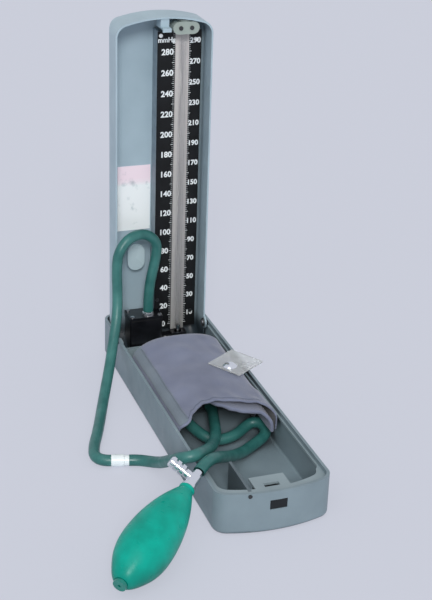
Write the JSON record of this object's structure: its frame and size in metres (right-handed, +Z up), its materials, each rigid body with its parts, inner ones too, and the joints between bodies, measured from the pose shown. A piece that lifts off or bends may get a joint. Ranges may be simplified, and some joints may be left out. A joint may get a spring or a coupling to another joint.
{
  "type": "mercury sphygmomanometer",
  "caption": "Desk mercury manometer in a hinged box, lid raised, with arm cuff, rubber hoses and squeeze bulb.",
  "frame": {"origin": "middle of the base tray's footprint, on the flat bottom that stands on the table", "axes": "+Z up; +Y along the box, from the latch to the raised lid; +X to the right of someone who faces the scale"},
  "size_m": [0.2091, 0.4033, 0.342],
  "materials": {
    "shell_plastic": "satin moulded",
    "frame_plastic": "satin moulded",
    "steel": "plain",
    "bronze": "plain",
    "button_plastic": "gloss",
    "scale_metal": "matt black with white figures",
    "backing_board": "matt",
    "glass": "clear",
    "ivory_plastic": "satin",
    "dark_screw": "black oxide",
    "white_screw": "gloss",
    "pot_metal": "gloss black enamel",
    "gasket_rubber": "matt",
    "chrome": "polished",
    "mercury": "liquid metal",
    "filter_felt": "felt",
    "label_paper": "paper, bare",
    "hose_rubber": "satin",
    "white_nylon": "gloss",
    "bulb_rubber": "satin",
    "cuff_cloth": "woven cloth",
    "bladder_rubber": "matt",
    "clear_film": "clear film"
  },
  "bodies": {
    "base": {"base_tray": "shell_plastic", "rim_frame": "frame_plastic", "frame_rivets": "steel", "bay_divider": "frame_plastic", "lid_stop_bar": "frame_plastic", "hinge_pins": "steel", "latch_housing": "frame_plastic", "latch_spring": "steel", "cuff_cover": "cuff_cloth", "cuff_bladder": "bladder_rubber", "cuff_tab": "clear_film", "cuff_stud": "chrome", "manometer_hose": "hose_rubber", "cuff_hose": "hose_rubber", "bulb_hose": "hose_rubber", "coupling_socket": "white_nylon", "coupling_plug": "white_nylon", "valve_body": "chrome", "bulb": "bulb_rubber", "bulb_inlet_valve": "white_nylon", "inlet_grille": "steel"},
    "lid": {"lid_shell": "shell_plastic", "hinge_bushes": "bronze", "lid_strike": "steel", "label_plate": "label_paper", "hose_keeper": "frame_plastic", "scale_plate": "scale_metal", "scale_screws": "white_screw", "tube_backing": "backing_board", "glass_tube": "glass", "top_bracket": "ivory_plastic", "bracket_screws": "dark_screw", "tube_vent_disc": "filter_felt", "tube_top_cap": "ivory_plastic", "reservoir_pot": "pot_metal", "reservoir_screws": "steel", "reservoir_gasket": "gasket_rubber", "reservoir_cover": "pot_metal", "filter_disc": "filter_felt", "cover_screws": "steel", "hose_nozzle": "chrome", "tube_washer": "gasket_rubber", "mercury_charge": "mercury", "mercury_column": "mercury"},
    "latch": {"latch_button": "button_plastic", "latch_slider": "steel"},
    "cock": {"shutoff_cock": "chrome"},
    "knob": {"valve_knob": "chrome"},
    "needle": {"valve_needle": "steel"},
    "ball": {"inlet_ball": "steel"}
  },
  "joints": [
    {"name": "lid_hinge", "type": "hinge", "parent": "base", "child": "lid", "pos_m": [0, 0.1395, 0.0343], "axis": [1, 0, 0], "range_deg": [0, 80], "deforming": ["manometer_hose"]},
    {"name": "latch_slide", "type": "slide", "parent": "base", "child": "latch", "axis": [0, 1, 0], "range_m": [0, 0.003], "stiffness_N_per_m": 400, "springref_m": -0.002, "deforming": ["latch_spring"]},
    {"name": "cock_turn", "type": "hinge", "parent": "lid", "child": "cock", "pos_m": [0.0085, 0.1484, 0.017], "axis": [0, -1, 0], "range_deg": [0, 90]},
    {"name": "knob_turn", "type": "hinge", "parent": "base", "child": "knob", "pos_m": [-0.06716, -0.13789, 0.04556], "axis": [-0.6611, 0.5003, 0.5591], "range_deg": [0, 270]},
    {"name": "needle_slide", "type": "slide", "parent": "base", "child": "needle", "axis": [-0.6611, 0.5003, 0.5591], "range_m": [0, 0.00075]},
    {"name": "ball_lift", "type": "slide", "parent": "base", "child": "ball", "axis": [0.7012, 0.6771, 0.2233], "range_m": [0, 0.0018]}
  ],
  "couplings": [
    {"joint": "needle_slide", "follows": "knob_turn", "m_per_rad": 0.00015915}
  ]
}
